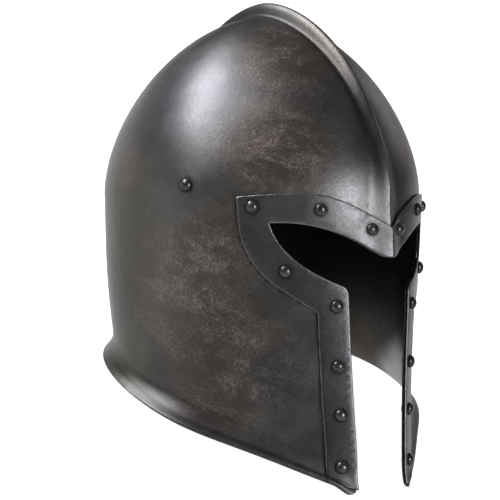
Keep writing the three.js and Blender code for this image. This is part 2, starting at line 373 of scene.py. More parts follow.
    def foot(self, angle: Array) -> Array:
        """Level of the rim's edge at an angle from the front."""
        low, high = 0 * angle - self.face_drop - self.flare_reach, 0 * angle
        return root(lambda z: z - self.rim_level(self.wall_points(angle, z)[..., 1]), low, high)


class Outline:
    """An open outline in the face's own plane, drawn from straight and curved stretches."""

    def __init__(self, x: float, z: float) -> None:
        """Starts the outline at a point."""
        self._points = [np.array([x, z])]

    def line(self, x: float, z: float) -> None:
        """Goes straight to a point.

        Args:
            x: Where it goes, across.
            z: Where it goes, upwards.
        """
        start, end = self._points[-1], np.array([x, z])
        count = max(1, round(float(np.linalg.norm(end - start)) / OUTLINE_STEP))
        self._points += [start + (end - start) * k / count for k in range(1, count + 1)]

    def curve(self, cx: float, cz: float, x: float, z: float) -> None:
        """Goes to a point on a quadratic curve.

        Args:
            cx: The curve's control point, across.
            cz: The curve's control point, upwards.
            x: Where it goes, across.
            z: Where it goes, upwards.
        """
        start, middle, end = self._points[-1], np.array([cx, cz]), np.array([x, z])
        reach = float(np.linalg.norm(middle - start) + np.linalg.norm(end - middle))
        count = max(3, round(reach / OUTLINE_STEP))
        for k in range(1, count + 1):
            t = k / count
            self._points.append((1 - t) ** 2 * start + 2 * t * (1 - t) * middle + t * t * end)

    def points(self) -> Array:
        """The outline as rows of x and z."""
        return np.array(self._points)


@dataclass(frozen=True)
class FaceOpening:
    """Sizes of the face opening and of the band round it, seen from the front."""

    eye_reach: float = 66 * MM
    eye_drop: float = 18.6 * MM
    brow_arch: float = 38.2 * MM
    nasal_half_width: float = 7.2 * MM
    nasal_drop: float = 40 * MM
    cheek_top: float = 58 * MM
    slot_half_top: float = 25.8 * MM
    slot_half_foot: float = 20.8 * MM
    corner_round: float = 6.5 * MM
    toe_round: float = 5.5 * MM
    band_width: float = 21 * MM

    @property
    def toe_end(self) -> float:
        """Where the rounding of a toe meets the rim's edge."""
        return self.slot_half_foot + self.toe_round

    def opening(self, face_drop: float, toe_level: float) -> Array:
        """The wearer's left half of the opening, from under the nasal to the toe.

        Args:
            face_drop: Depth of the cheeks' tips under the widest level.
            toe_level: Level of the rim's edge at the toe's end.

        Returns:
            Rows of x and z.
        """
        slot_start = -face_drop + 5 * self.toe_round
        shape = Outline(0.0, -self.nasal_drop)
        shape.curve(
            0.62 * self.nasal_half_width, -self.nasal_drop,
            self.nasal_half_width, -self.brow_arch,
        )
        shape.curve(0.61 * self.eye_reach, -0.85 * self.eye_drop, self.eye_reach, -self.eye_drop)
        shape.curve(
            0.91 * self.eye_reach, -0.77 * self.cheek_top,
            self.slot_half_top + 0.5 * self.corner_round, -self.cheek_top,
        )
        shape.curve(
            self.slot_half_top, -self.cheek_top - 0.3 * self.corner_round,
            self.slot_half_top, -self.cheek_top - self.corner_round,
        )
        shape.line(self.slot_half_foot, slot_start)
        shape.line(self.slot_half_foot, toe_level + self.toe_round)
        shape.curve(self.slot_half_foot, toe_level, self.toe_end, toe_level)
        return shape.points()

    def band_edge(self, face_drop: float, foot_level: float) -> Array:
        """The wearer's left half of the band's outer edge, from the middle of the brow to its foot.

        Args:
            face_drop: Depth of the cheeks' tips under the widest level.
            foot_level: Level down to which the edge is drawn.

        Returns:
            Rows of x and z.
        """
        width, reach = self.band_width, self.eye_reach

        def above_eyes(widths: float) -> float:
            """A level over the eye openings' outer ends, by widths of the band."""
            return widths * width - self.eye_drop

        shape = Outline(0.0, -self.nasal_drop + 0.92 * width)
        shape.curve(0.43 * reach, above_eyes(0.85), 0.72 * reach, above_eyes(0.9))
        shape.curve(0.96 * reach, above_eyes(0.94), reach + 0.7 * width, above_eyes(0.8))
        shape.line(reach + 0.6 * width, above_eyes(-0.34))
        shape.curve(
            reach + 0.38 * width, 0.16 * width - 0.9 * self.cheek_top,
            0.9 * reach, -self.cheek_top - 0.15 * width,
        )
        shape.line(self.slot_half_top + 0.77 * width, -self.cheek_top - 0.84 * width)
        shape.line(self.slot_half_foot + 0.77 * width, -face_drop + 5 * self.toe_round)
        shape.line(self.slot_half_foot + 0.8 * width, foot_level)
        return shape.points()


@dataclass
class Stand:
    """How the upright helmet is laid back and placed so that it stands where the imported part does."""

    tilt: float
    shift: Vector = field(default_factory=lambda: Vector((0.0, 0.0, 0.0)))

    def matrix(self) -> Matrix:
        """The turn and the shift from the upright helmet to the standing one."""
        return Matrix.Translation(self.shift) @ Matrix.Rotation(-self.tilt, 4, "X")

    def apply(self, points: Array) -> Array:
        """Points of the upright helmet, in the standing one."""
        m = np.array(self.matrix())
        return points @ m[:3, :3].T + m[:3, 3]


def mirrored(half: Array) -> Array:
    """The whole of a path from its half on the wearer's left, which starts on the middle line."""
    return np.concatenate([half[:0:-1] * [-1, 1], half])


def weld(points: Array, faces: Array, extras: dict[str, Array]) -> Built:
    """Merges points that lie in one place and drops the faces that this closes up.

    Args:
        points: Rows of x, y and z.
        faces: Rows of three indices.
        extras: Values for each point, by name.

    Returns:
        The merged points, faces and values.
    """
    keys = np.round(points / WELD_DISTANCE).astype(np.int64)
    _, first, inverse = np.unique(keys, axis=0, return_index=True, return_inverse=True)
    faces = inverse.reshape(-1)[faces]
    a, b, c = faces.T
    faces = faces[(a != b) & (b != c) & (c != a)]
    return points[first], faces, {name: values[first] for name, values in extras.items()}


def mesh_object(name: str, points: Array, faces: Array, extras: dict[str, Array]) -> bpy.types.Object:
    """Makes a smooth mesh object at the origin.

    Args:
        name: Name of the object and its mesh.
        points: Rows of x, y and z in the row frame.
        faces: Rows of three indices.
        extras: Float attributes of the points, by name.

    Returns:
        The new object, linked to the scene.
    """
    mesh = bpy.data.meshes.new(name)
    mesh.from_pydata(points.tolist(), [], faces.tolist())
    mesh.polygons.foreach_set("use_smooth", np.ones(len(mesh.polygons), bool))
    for key, values in extras.items():
        mesh.attributes.new(key, "FLOAT", "POINT").data.foreach_set("value", values.astype(np.float32))
    mesh.update()
    piece = bpy.data.objects.new(name, mesh)
    bpy.context.scene.collection.objects.link(piece)
    return piece


def distances(points: Array, path: Array) -> Array:
    """Distance of flat points from a path.

    Args:
        points: Rows of two coordinates.
        path: Rows of the path's own points, in order.

    Returns:
        The distance of each point from the nearest stretch.
    """
    a, b = path[:-1], path[1:]
    run = b - a
    length = np.maximum((run**2).sum(-1), TINY)
    out = np.empty(len(points))
    for k in range(0, len(points), PATH_BATCH):
        p = points[k : k + PATH_BATCH, None, :]
        t = np.clip(((p - a) * run).sum(-1) / length, 0, 1)
        out[k : k + PATH_BATCH] = np.sqrt((((a + t[..., None] * run) - p) ** 2).sum(-1).min(1))
    return out


def inside(points: Array, polygon: Array) -> Array:
    """Whether flat points lie inside a closed polygon.

    Args:
        points: Rows of two coordinates.
        polygon: Rows of the polygon's corners, in order.

    Returns:
        True for each point that lies inside.
    """
    x, y = points[:, 0, None], points[:, 1, None]
    ax, ay = polygon.T
    bx, by = np.roll(polygon, -1, axis=0).T
    rise = np.where(by == ay, TINY, by - ay)
    hits = ((ay > y) != (by > y)) & (x < (bx - ax) * (y - ay) / rise + ax)
    return hits.sum(1) % 2 == 1


@dataclass
class Lattice:
    """Where the lines and rows of the fine skin run."""

    skin: Skin
    crest_lines: tuple[float, ...] = (
        0, 0.002, 0.005, 0.01, 0.017, 0.025, 0.034, 0.044, 0.055, 0.067, 0.08, 0.094, 0.11, 0.128,
    )
    side_lines: int = 30
    side_crowding: float = 1.15
    dome_steps: int = 84
    wall_rows: int = 30
    rim_rows: tuple[float, ...] = (1.4, 2.2, 3.0, 3.8, 4.7, 5.8, 7.1, 8.6, 10.2, 12, 14, 16, 18)
    wall_columns: int = 512

    def shares(self) -> Array:
        """Places of the lines across the helmet.

        Returns:
            Shares of the half width, from the wearer's right to the left.
        """
        start = math.asin(self.crest_lines[-1])
        steps = np.arange(1, self.side_lines + 1) / self.side_lines
        ahead = start + (math.pi / 2 - start) * steps**self.side_crowding
        half = np.concatenate([self.crest_lines, np.sin(ahead)])
        half[-1] = 1.0
        return np.concatenate([-half[:0:-1], half])

    def ring(self) -> tuple[Array, Array]:
        """Where the lines meet the widest level.

        Returns:
            Their angles before the ears, and behind them.
        """
        shares = self.shares()
        ahead = self.skin.angle_at(self.skin.half_width * shares[1:-1], 0 * shares[1:-1])
        front = np.concatenate([[-math.pi / 2], ahead, [math.pi / 2]])
        across = shares[-2:0:-1]
        low, high = 0 * across, 0 * across + math.pi / 2
        goal = self.skin.half_width * np.abs(across)
        behind = root(lambda a: self.skin.wall_points(math.pi - a, 0 * a)[..., 0] - goal, low, high)
        back = math.pi - behind
        return front, np.where(across < 0, 2 * math.pi - back, back)

    def columns(self) -> Array:
        """Angles of the wall's columns at the rim, from the back round the front to the back again."""
        return np.linspace(-math.pi, math.pi, self.wall_columns + 1)

    def levels(self, foot: Array) -> tuple[Array, Array]:
        """Levels of the rows of the wall over each foot.

        Args:
            foot: Levels of the rim's edge.

        Returns:
            Levels of the close rows over the rim, and of the wider rows up to the widest level.
        """
        low = foot[None, :] + MM * np.array(self.rim_rows)[:, None]
        share = (np.arange(1, self.wall_rows) / self.wall_rows)[:, None]
        return low, low[-1] * (1 - share)


@dataclass
class SteelSheet:
    """A sheet of steel that follows the skin, with its edges rounded over."""

    skin: Skin
    lattice: Lattice
    outer: float
    inner: float
    stretch: float = 112 * MM
    edge_rows: tuple[float, ...] = (0.12, 0.45, 1.0)
    row_clearance: float = 0.85
    crest_rows: tuple[float, float, float] = (-1, -60, -1.5)
    clearance: float = 1.1 * MM
    cell: float = 0.45 * MM
    margin: float = 1e-6
    on_edge: float = 1e-7
    tolerance: float = 1e-8
    least_area: float = 1e-14
    cut_reach: float = 14 * MM

    def flat(self, angle: Array, z: Array) -> Array:
        """Angles and levels laid out flat, in metres."""
        return np.stack([angle * self.stretch, z + 0 * angle], -1)

    def laid(self, rows: Array) -> Array:
        """Rows of angle and level laid out flat, in metres."""
        return self.flat(rows[:, 0], rows[:, 1])

    def edge_points(self, path: Array, polygon: Array) -> Array:
        """Rows of points along the free edges, close to them.

        Args:
            path: The free edge laid out flat, with the steel on its left.
            polygon: The whole sheet laid out flat.

        Returns:
            Points at the distances of edge_rows from the edge.
        """
        run = np.gradient(path, axis=0)
        run /= np.linalg.norm(run, axis=1, keepdims=True)
        left = np.stack([-run[:, 1], run[:, 0]], -1)
        half = (self.outer - self.inner) / 2
        rows = []
        for share in self.edge_rows:
            row = path + left * share * half
            clear = distances(row, path) > self.row_clearance * share * half
            rows.append(row[inside(row, polygon) & clear])
        return np.concatenate(rows)

    def crest_points(self) -> Array:
        """Close points beside the middle line, where the comb runs down the brow.

        Returns:
            The points laid out flat.
        """
        shares = np.array(self.lattice.crest_lines)
        x = self.skin.half_width * np.concatenate([-shares[:0:-1], shares])
        z = np.arange(*self.crest_rows) * MM
        x, z = (grid.ravel() for grid in np.meshgrid(x, z))
        return self.flat(self.skin.angle_at(x, z), z)

    def triangulate(self, polygon: Array, loose: Array) -> tuple[Array, Array]:
        """Fills a flat polygon with triangles through the given points.

        Args:
            polygon: The sheet's border, counterclockwise.
            loose: Points inside it.

        Returns:
            The flat points and the triangles, counterclockwise.
        """
        verts = [Vector(p) for p in np.concatenate([polygon, loose])]
        border = list(range(len(polygon)))
        found = delaunay_2d_cdt(verts, [], [border], 1, self.tolerance)
        given = np.concatenate([polygon, loose])
        points = np.array([given[o[0]] if o else tuple(v) for v, o in zip(found[0], found[3])])
        faces = np.array([f for f in found[2] if len(f) == 3])
        a, b, c = (points[faces[:, k]] for k in range(3))
        area = (b[:, 0] - a[:, 0]) * (c[:, 1] - a[:, 1]) - (b[:, 1] - a[:, 1]) * (c[:, 0] - a[:, 0])
        faces[area < 0] = faces[area < 0][:, ::-1]
        return points, faces[np.abs(area) > self.least_area]

    def cloud(self, polygon: Array) -> Array:
        """Loose points of the sheet, on its columns and rows and beside the crest.

        Args:
            polygon: The sheet's border laid out flat.

        Returns:
            Flat points inside the border, clear of it and of each other.
        """
        angles = self.lattice.columns()
        low, high = self.lattice.levels(self.skin.foot(angles))
        cloud = np.concatenate([
            self.flat(np.broadcast_to(angles, low.shape), low).reshape(-1, 2),
            self.flat(np.broadcast_to(angles[::2], high[:, ::2].shape), high[:, ::2]).reshape(-1, 2),
            self.crest_points(),
        ])
        near = (cloud < polygon.max(0) + self.margin) & (cloud > polygon.min(0) - self.margin)
        cloud = cloud[np.all(near, axis=1)]
        cloud = cloud[inside(cloud, polygon)]
        closed = np.concatenate([polygon, polygon[:1]])
        cloud = cloud[distances(cloud, closed) > self.clearance]
        _, keep = np.unique(np.round(cloud / self.cell).astype(np.int64), axis=0, return_index=True)
        return cloud[np.sort(keep)]

    def ground(self, flat: Array, from_cut: Array) -> tuple[Array, Array]:
        """Points of the skin under the sheet.

        Near a cut edge they are moved, so that the edge lies where a straight cut from the front
        puts it.

        Args:
            flat: Points laid out flat.
            from_cut: Distance of each from the cut edge.

        Returns:
            Points of the skin, and how high each lay over the rim's edge before it was moved.
        """
        angle, z = flat[:, 0] / self.stretch, flat[:, 1]
        base = self.skin.wall_points(angle, z)
        above = z - self.skin.foot(angle)
        middle = (self.outer + self.inner) / 2
        away = self.skin.normal(base) * (middle + self.skin.comb(base))[:, None]
        cut = 1 - smooth(from_cut / self.cut_reach)
        moved = cut > 0
        angle[moved] = self.skin.angle_at(
            base[moved, 0] - (cut * away[:, 0])[moved], base[moved, 2] - (cut * away[:, 2])[moved],
        )
        return self.skin.wall_points(angle, z - cut * away[:, 2]), above

    def build(self, polygon: Array, free: Array, marks: dict[str, Array]) -> Built:
        """Makes both skins of the sheet over a flat polygon.

        Args:
            polygon: The sheet's border laid out flat, counterclockwise.
            free: The free edge, with the steel on its left.
            marks: Flat paths on the sheet, by name.

        Returns:
            Points, triangles, and each point's distance from each mark.
        """
        loose = np.concatenate([self.edge_points(free, polygon), self.cloud(polygon)])
        flat, faces = self.triangulate(polygon, loose)
        from_edge = distances(flat, free)
        from_edge[from_edge < self.on_edge] = 0.0
        middle, half = (self.outer + self.inner) / 2, (self.outer - self.inner) / 2
        swell = np.sqrt(1 - (1 - np.clip(from_edge / half, 0, 1)) ** 2)
        base, above = self.ground(flat, distances(flat, marks["cut"]))
        skins = []
        for way in (1, -1):
            p = self.skin.lifted(base, middle + way * half * swell)
            miss = self.skin.rim_level(p[:, 1]) + above - p[:, 2]
            p[:, 2] += miss * (1 - smooth(above / self.skin.lip_reach))
            skins.append(p)
        count = len(flat)
        values = {
            name: np.tile(distances(flat, path), 2) for name, path in marks.items() if name != "cut"
        }
        values["inside"] = np.repeat([0.0, 1.0], count)
        return np.concatenate(skins), np.concatenate([faces, faces[:, ::-1] + count]), values


@dataclass
class Skull:
    """The one-piece bowl of the helmet."""

    skin: Skin
    opening: FaceOpening
    lattice: Lattice
    wall: float = 1.6 * MM
    least_step: float = 0.3
    node: str = "skull"
    slot: str = "skull_steel"

    def sheet(self) -> SteelSheet:
        """The sheet that the wall is made of."""
        return SteelSheet(self.skin, self.lattice, outer=0.0, inner=-self.wall)

    def toe_angle(self) -> float:
        """Where a toe's rounding meets the rim.

        Returns:
            The angle from the front.
        """
        angle = root(
            lambda a: self.skin.wall_points(a, self.skin.foot(a))[..., 0] - self.opening.toe_end,
            np.zeros(1), np.full(1, math.pi / 2),
        )
        return float(angle[0])

    def opening_path(self) -> Array:
        """The wearer's left half of the opening.

        Returns:
            Rows of angle and level.
        """
        end = self.toe_angle()
        toe_level = float(self.skin.foot(np.array([end]))[0])
        outline = self.opening.opening(self.skin.face_drop, toe_level)
        angles = self.skin.angle_at(outline[:, 0], outline[:, 1])
        angles[-1] = end
        return np.stack([angles, outline[:, 1]], -1)

    def border(self) -> tuple[Array, Array]:
        """The wall laid out flat.

        Returns:
            Its whole border, and the free edge in it.
        """
        sheet = self.sheet()
        half = self.opening_path()
        face = np.concatenate([half[::-1] * [-1, 1], half[1:]])
        end = half[-1, 0]
        columns = self.lattice.columns()
        rim = columns[columns > end + self.least_step * (columns[1] - columns[0])]
        rim_row = np.stack([rim, self.skin.foot(rim)], -1)
        free = np.concatenate([rim_row[::-1] * [-1, 1], face, rim_row])
        seam = np.concatenate([rows[:, 0] for rows in self.lattice.levels(rim_row[-1:, 1])])
        seam_row = np.stack([np.full(len(seam), math.pi), seam], -1)
        front, back = self.lattice.ring()
        top = np.concatenate([front, back[back <= math.pi], back[back > math.pi] - 2 * math.pi])
        top = np.unique(np.concatenate([top, [-math.pi, math.pi]]))[::-1]
        top_row = np.stack([top, 0 * top], -1)
        border = np.concatenate([free, seam_row, top_row, seam_row[::-1] * [-1, 1]])
        return sheet.laid(border), sheet.laid(free)

    def dome(self, distance: float, inward: bool) -> tuple[Array, Array]:
        """One skin of the dome.

        Args:
            distance: Distance over the outer skin.
            inward: Whether the faces look into the helmet.

        Returns:
            Points and triangles.
        """
        shares = self.lattice.shares()
        front, back = self.lattice.ring()
        start = self.skin.lifted(self.skin.wall_points(front, 0 * front), distance)
        end = self.skin.lifted(self.skin.wall_points(back, 0 * back), distance)[::-1]
        turns = math.pi * np.arange(1, self.lattice.dome_steps) / self.lattice.dome_steps
        across, over = np.meshgrid(shares[1:-1], turns)
        middle = self.skin.dome_points(across, over)
        middle = self.skin.lifted(middle, distance)
        ends = np.broadcast_to(start[[0, -1]], (len(turns), 2, 3))
        rows = np.concatenate([ends[:, :1], middle, ends[:, 1:]], axis=1)
        last = np.concatenate([start[:1], end, start[-1:]])
        grid = np.concatenate([start[None], rows, last[None]])
        high, wide = grid.shape[:2]
        i, j = np.meshgrid(np.arange(high - 1), np.arange(wide - 1), indexing="ij")
        a, b = (i * wide + j).ravel(), (i * wide + j + 1).ravel()
        faces = np.concatenate([
            np.stack([a, b, b + wide], -1),
            np.stack([a, b + wide, a + wide], -1),
        ])
        return grid.reshape(-1, 3), faces[:, ::-1] if inward else faces

    def build(self) -> Built:
        """Makes the closed bowl of the upright helmet.

        Returns:
            Points, triangles, and each point's distance from the bowl's marks.
        """
        polygon, free = self.border()
        sheet = self.sheet()
        outline = self.opening.band_edge(self.skin.face_drop, -self.skin.face_drop)
        angles = self.skin.angle_at(outline[:, 0], outline[:, 1])
        seam = sheet.laid(mirrored(np.stack([angles, outline[:, 1]], -1)))
        cut = sheet.laid(mirrored(self.opening_path()))
        points, faces, marks = sheet.build(polygon, free, {"edge": free, "seam": seam, "cut": cut})
        parts, triangles = [points], [faces]
        for distance, inward in ((0.0, False), (-self.wall, True)):
            more, more_faces = self.dome(distance, inward)
            triangles.append(more_faces + sum(len(p) for p in parts))
            parts.append(more)
        far = np.full(len(parts[1]), self.skin.half_width)
        domes = {"inside": np.repeat([0.0, 1.0], len(far))}
        marks = {
            name: np.concatenate([values, domes.get(name, np.tile(far, 2))])
            for name, values in marks.items()
        }
        return weld(np.concatenate(parts), np.concatenate(triangles), marks)


@dataclass
class FaceBand:
    """The plate riveted round the face opening, creased over the nasal."""

    skull: Skull
    gap: float = 0.4 * MM
    wall: float = 1.5 * MM
    cut_reach: float = 60 * MM
    foot_clearance: float = 0.6 * MM
    foot_points: int = 14
    node: str = "face_band"
    slot: str = "band_steel"

    def sheet(self) -> SteelSheet:
        """The sheet that the band is made of."""
        skin, lattice = self.skull.skin, self.skull.lattice
        return SteelSheet(skin, lattice, self.gap + self.wall, self.gap, cut_reach=self.cut_reach)

    def build(self) -> Built:
        """Makes the closed plate on the upright helmet.

        Returns:
            Points, triangles, and each point's distance from the plate's marks.
        """
        skin, opening, sheet = self.skull.skin, self.skull.opening, self.sheet()
        inner = self.skull.opening_path()
        inner = inner[inner[:, 1] > skin.foot(inner[:, 0]) + skin.lip_reach]
        outline = opening.band_edge(skin.face_drop, -skin.face_drop)
        outer = np.stack([skin.angle_at(outline[:, 0], outline[:, 1]), outline[:, 1]], -1)
        least = skin.foot(outer[:, 0]) + skin.lip_reach + self.foot_clearance
        outer = outer[outer[:, 1] > least]
        foot_x = np.linspace(outer[-1, 0], inner[-1, 0], self.foot_points)
        foot_row = np.stack([foot_x, skin.foot(foot_x) + skin.lip_reach], -1)
        flat = sheet.laid(self.ring(outer, foot_row, inner))
        free = np.concatenate([flat, flat[:1]])
        marks = {
            "edge": sheet.laid(mirrored(inner)),
            "seam": sheet.laid(mirrored(outer)),
            "cut": free,
        }
        return weld(*sheet.build(flat, free, marks))

    @staticmethod
    def ring(outer: Array, foot: Array, inner: Array) -> Array:
        """The whole border of the band.

        Args:
            outer: Its outer edge on the wearer's left, from the middle down.
            foot: Its foot, from the outer edge to the inner one.
            inner: Its inner edge, from the middle down.

        Returns:
            Rows of angle and level, counterclockwise.
        """
        flip = np.array([-1, 1])
        right = np.concatenate([outer * flip, foot[1:-1] * flip, inner[::-1] * flip])
        left = np.concatenate([inner[1:], foot[::-1][1:-1], outer[:0:-1]])
        return np.concatenate([right, left])


class Rivet(NamedTuple):
    """One rivet of a half: its place on the upright skin, and what it goes through."""

    name: str
    angle: float
    level: float
    through_band: bool


@dataclass
class Rivets:
    """The rivets of the band, and one in each side of the skull: domed heads, flattened inner ends.

    The brow's rows give a share of the eye openings' reach and one of the band's width. The
    cheek's give a share of the cheek's drop and one of the band's width.
    """

    band: FaceBand
    head_radius: float = 4.25 * MM
    head_height: float = 3.1 * MM
    end_radius: float = 3.1 * MM
    end_height: float = 1.3 * MM
    skirt: float = 0.7 * MM
    seat_gap: float = 0.3 * MM
    head_unevenness: float = 0.05
    end_unevenness: float = 0.12
    head_seed: int = 4
    end_seed: int = 9
    ball_segments: int = 32
    ball_rings: int = 18
    brow: tuple[tuple[str, float, float], ...] = (
        ("brow_inner", 0.17, 0.6),
        ("brow_middle", 0.62, 0.56),
    )
    brow_end_out: float = 0.33
    brow_end_up: float = 0.5
    eye_across: float = 0.865
    eye_down: float = 1.45
    cheek: tuple[tuple[str, float, float], ...] = (
        ("cheek_upper", 0.369, 0.28),
        ("cheek_middle", 0.568, 0.4),
        ("cheek_lower", 0.73, 0.4),
        ("cheek_foot", 0.903, 0.45),
    )
    side_turn: float = math.radians(69.5)
    side_level: float = 5.5 * MM
    slot: str = "rivet_steel"

    @staticmethod
    def crossing(path: Array, axis: int, at: float, pick: Callable[[list[float]], float]) -> float:
        """Where a flat path crosses a line.

        Args:
            path: Rows of x and z.
            axis: 0 for a line at one x, 1 for a line at one z.
            at: Place of the line.
            pick: Chooses between several crossings.

        Returns:
            The other coordinate of the crossing.
        """
        found = []
        for start, end in zip(path[:-1], path[1:]):
            if (start[axis] - at) * (end[axis] - at) <= 0 and start[axis] != end[axis]:
                share = (at - start[axis]) / (end[axis] - start[axis])
                found.append(float(start[1 - axis] + share * (end[1 - axis] - start[1 - axis])))
        return pick(found)

    def half(self) -> list[Rivet]:
        """The rivets of the wearer's left half.

        Returns:
            Each rivet's place on the upright skin.
        """
        skull = self.band.skull
        skin, face = skull.skin, skull.opening
        inner = face.opening(skin.face_drop, -skin.face_drop)
        outer = face.band_edge(skin.face_drop, -skin.face_drop)

        def between(axis: int, at: float, pick: Callable[[list[float]], float], share: float) -> float:
            """A place on the band between its two edges.

            Args:
                axis: 0 on a line at one x, 1 on a line at one z.
                at: Place of the line.
                pick: Chooses between several crossings of an edge.
                share: Share of the way from the inner edge to the outer one.

            Returns:
                The other coordinate of the place.
            """
            near, far = (self.crossing(path, axis, at, pick) for path in (inner, outer))
            return near + share * (far - near)

        places = []
        for name, across, share in self.brow:
            x = across * face.eye_reach
            places.append((name, x, between(0, x, max, share)))
        out, up = self.brow_end_out * face.band_width, self.brow_end_up * face.band_width
        places.append(("brow_outer", face.eye_reach + out, up - face.eye_drop))
        down = self.eye_down * face.band_width
        places.append(("eye", self.eye_across * face.eye_reach, -down - face.eye_drop))
        for name, drop, share in self.cheek:
            z = -drop * skin.face_drop
            places.append((name, between(1, z, min, share), z))
        rivets = [
            Rivet(name, float(skin.angle_at(np.array([x]), np.array([z]))[0]), z, True)
            for name, x, z in places
        ]
        return rivets + [Rivet("side", self.side_turn, self.side_level, False)]

    def seats(self) -> tuple[Array, Array, list[float]]:
        """Seats of the heads and of the inner ends, on both sides.

        Returns:
            Places and outward directions, the heads first, and how thick the band is under each head.
        """
        half = self.half()
        angle = np.array([side.value * r.angle for side in Side for r in half])
        level = np.array([r.level for _ in Side for r in half])
        stack = [self.band.gap + self.band.wall if r.through_band else 0.0 for _ in Side for r in half]
        skin = self.band.skull.skin
        base = skin.wall_points(angle, np.minimum(level, 0))
        high = level > 0
        scale = (1 - (level[high] / skin.dome_height) ** skin.dome_form) ** (1 / skin.dome_form)
        reach = scale * skin.wall_radius(angle[high], level[high])
        across = skin.axis_y(level[high]) - reach * np.cos(angle[high])
        base[high] = np.stack([reach * np.sin(angle[high]), across, level[high]], -1)
        return base, skin.normal(base), stack

    def tree(self, name: str, material: bpy.types.Material) -> bpy.types.NodeTree:
        """Geometry nodes that put one domed end at each seat.

        Args:
            name: Name of the tree.
            material: Finish of the ends.

        Returns:
            The tree, with its sizes as inputs.
        """
        tree = bpy.data.node_groups.new(name, "GeometryNodeTree")
        face = tree.interface
        face.new_socket("Geometry", in_out="INPUT", socket_type="NodeSocketGeometry")
        for size in ("Radius", "Height", "Skirt", "Unevenness"):
            face.new_socket(size, in_out="INPUT", socket_type="NodeSocketFloat")
        face.new_socket("Seed", in_out="INPUT", socket_type="NodeSocketInt")
        face.new_socket("Geometry", in_out="OUTPUT", socket_type="NodeSocketGeometry")
        add, link = tree.nodes.new, tree.links.new
        start, end = add("NodeGroupInput"), add("NodeGroupOutput")
        sizes = start.outputs
        ball = add("GeometryNodeMeshUVSphere")
        ball.inputs["Segments"].default_value = self.ball_segments
        ball.inputs["Rings"].default_value = self.ball_rings
        ball.inputs["Radius"].default_value = 1.0
        place, parts = add("GeometryNodeInputPosition"), add("ShaderNodeSeparateXYZ")
        link(place.outputs[0], parts.inputs[0])
        above = add("FunctionNodeCompare")
        above.operation = "GREATER_THAN"
        link(parts.outputs["Z"], above.inputs["A"])
        depth = add("GeometryNodeSwitch")
        depth.input_type = "FLOAT"
        link(above.outputs[0], depth.inputs["Switch"])
        link(sizes["Skirt"], depth.inputs["False"])
        link(sizes["Height"], depth.inputs["True"])
        scale, shaped = add("ShaderNodeCombineXYZ"), add("ShaderNodeVectorMath")
        shaped.operation = "MULTIPLY"
        link(sizes["Radius"], scale.inputs["X"])
        link(sizes["Radius"], scale.inputs["Y"])
        link(depth.outputs[0], scale.inputs["Z"])
        link(place.outputs[0], shaped.inputs[0])
        link(scale.outputs[0], shaped.inputs[1])
        move = add("GeometryNodeSetPosition")
        link(ball.outputs["Mesh"], move.inputs["Geometry"])
        link(shaped.outputs[0], move.inputs["Position"])
        facing = add("GeometryNodeInputNamedAttribute")
        facing.data_type = "FLOAT_VECTOR"
        facing.inputs["Name"].default_value = "facing"
        turn = add("FunctionNodeAlignRotationToVector")
        turn.axis = "Z"
        link(facing.outputs["Attribute"], turn.inputs["Vector"])
        chance = add("FunctionNodeRandomValue")
        chance.data_type = "FLOAT"
        link(sizes["Seed"], chance.inputs["Seed"])
        spread, size = add("ShaderNodeMath"), add("ShaderNodeMath")
        spread.operation = "MULTIPLY"
        size.operation = "SUBTRACT"
        size.inputs[0].default_value = 1.0
        link(next(s for s in chance.outputs if s.enabled), spread.inputs[0])
        link(sizes["Unevenness"], spread.inputs[1])
        link(spread.outputs[0], size.inputs[1])
        points = add("GeometryNodeInstanceOnPoints")
        link(start.outputs["Geometry"], points.inputs["Points"])
        link(move.outputs[0], points.inputs["Instance"])
        link(turn.outputs[0], points.inputs["Rotation"])
        link(size.outputs[0], points.inputs["Scale"])
        real, smoothed, dressed = (
            add("GeometryNodeRealizeInstances"),
            add("GeometryNodeSetShadeSmooth"),
            add("GeometryNodeSetMaterial"),
        )
        dressed.inputs["Material"].default_value = material
        link(points.outputs[0], smoothed.inputs["Geometry"])
        link(smoothed.outputs[0], real.inputs[0])
        link(real.outputs[0], dressed.inputs["Geometry"])
        link(dressed.outputs[0], end.inputs[0])
        return tree

    def batch(self, name: str, places: Array, facing: Array, sizes: dict[str, float],
              material: bpy.types.Material) -> bpy.types.Mesh:
        """Meshes of one kind of end at all their seats.

        Args:
            name: Name of the tree and the mesh.
            places: Seats on the standing helmet.
            facing: Directions that the ends look in.
            sizes: Values of the tree's inputs, by name.
            material: Finish of the ends.

        Returns:
            One mesh with every end in it.
        """
        seats = bpy.data.meshes.new(name + "_seats")
        seats.from_pydata(places.tolist(), [], [])
        looks = seats.attributes.new("facing", "FLOAT_VECTOR", "POINT")
        looks.data.foreach_set("vector", facing.ravel())
        holder = bpy.data.objects.new(name, seats)
        bpy.context.scene.collection.objects.link(holder)
        modifier = holder.modifiers.new(name, "NODES")
        modifier.node_group = self.tree(name, material)
        for item in modifier.node_group.interface.items_tree:
            if item.in_out == "INPUT" and item.name in sizes:
                modifier[item.identifier] = sizes[item.name]
        graph = bpy.context.evaluated_depsgraph_get()
        made = bpy.data.meshes.new_from_object(holder.evaluated_get(graph))
        holder.modifiers.clear()
        bpy.data.objects.remove(holder)
        return made

